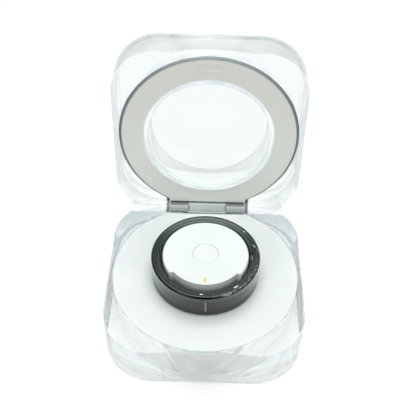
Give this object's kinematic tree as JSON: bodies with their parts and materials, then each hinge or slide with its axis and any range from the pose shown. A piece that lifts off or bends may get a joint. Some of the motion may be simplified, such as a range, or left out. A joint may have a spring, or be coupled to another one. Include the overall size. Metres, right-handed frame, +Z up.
{
  "type": "ring charging case",
  "caption": "Clear hinged charging case with a white round deck, a raised post with a centre button, a dark finger ring seated on the post and an annular plate in the open lid.",
  "frame": {"origin": "middle of the flat underside of the base", "axes": "+Z up through the charging post, -Y to the front with the thumb dish, +X to the right along the hinge pin"},
  "size_m": [0.049, 0.063, 0.0605],
  "materials": {
    "clear_base": "clear polished",
    "white_tub": "satin white",
    "white_underside": "matt white",
    "white_deck": "satin white",
    "orange_mark": "matt orange",
    "light_guide": "frosted",
    "green_board": "solder mask",
    "switch_black": "matt",
    "flex_amber": "film",
    "bobbin_white": "matt",
    "coil_copper": "enamelled",
    "ferrite": "sintered",
    "chip_black": "moulded",
    "cell_foil": "foil",
    "foam_pad": "foam",
    "port_steel": "plain",
    "port_black": "moulded",
    "magnet_nickel": "plated",
    "hinge_grey": "satin grey",
    "pin_steel": "ground",
    "screw_steel": "plated",
    "white_button": "satin white",
    "ring_titanium": "dark satin",
    "ring_resin": "dark gloss",
    "sensor_window": "dark gloss",
    "clear_lid": "clear polished",
    "frame_grey": "satin grey",
    "plate_champagne": "satin champagne",
    "bumper_champagne": "soft matt"
  },
  "bodies": {
    "base": {"base_shell": "clear_base", "base_tub": "white_tub", "base_plate": "white_underside", "charging_deck": "white_deck", "align_mark": "orange_mark", "light_guide": "light_guide", "button_board": "green_board", "button_switch": "switch_black", "button_flex": "flex_amber", "coil_bobbin": "bobbin_white", "charging_coil": "coil_copper", "ferrite_core": "ferrite", "main_board": "green_board", "board_chips": "chip_black", "battery": "cell_foil", "battery_pad": "foam_pad", "usb_shell": "port_steel", "usb_tongue": "port_black", "base_magnet": "magnet_nickel", "hinge_bracket": "hinge_grey", "hinge_pin": "pin_steel", "case_screws": "screw_steel", "board_screws": "screw_steel", "hinge_screws": "screw_steel"},
    "lid": {"lid_shell": "clear_lid", "lid_frame": "frame_grey", "lid_plate": "plate_champagne", "lid_bumper": "bumper_champagne", "lid_magnet": "magnet_nickel"},
    "ring": {"ring_band": "ring_titanium", "ring_liner": "ring_resin", "ring_sensors": "sensor_window", "ring_battery": "cell_foil", "ring_circuit": "flex_amber"},
    "button": {"status_button": "white_button", "switch_plunger": "switch_black"}
  },
  "joints": [
    {"name": "lid_hinge", "type": "hinge", "parent": "base", "child": "lid", "pos_m": [0, 0.02285, 0.0135], "axis": [1, 0, 0], "range_deg": [0, 96]},
    {"name": "ring_lift", "type": "slide", "parent": "base", "child": "ring", "axis": [0, 0, 1], "range_m": [0, 0.03]},
    {"name": "button_press", "type": "slide", "parent": "base", "child": "button", "axis": [0, 0, -1], "range_m": [0, 0.0004], "stiffness_N_per_m": 1500}
  ]
}
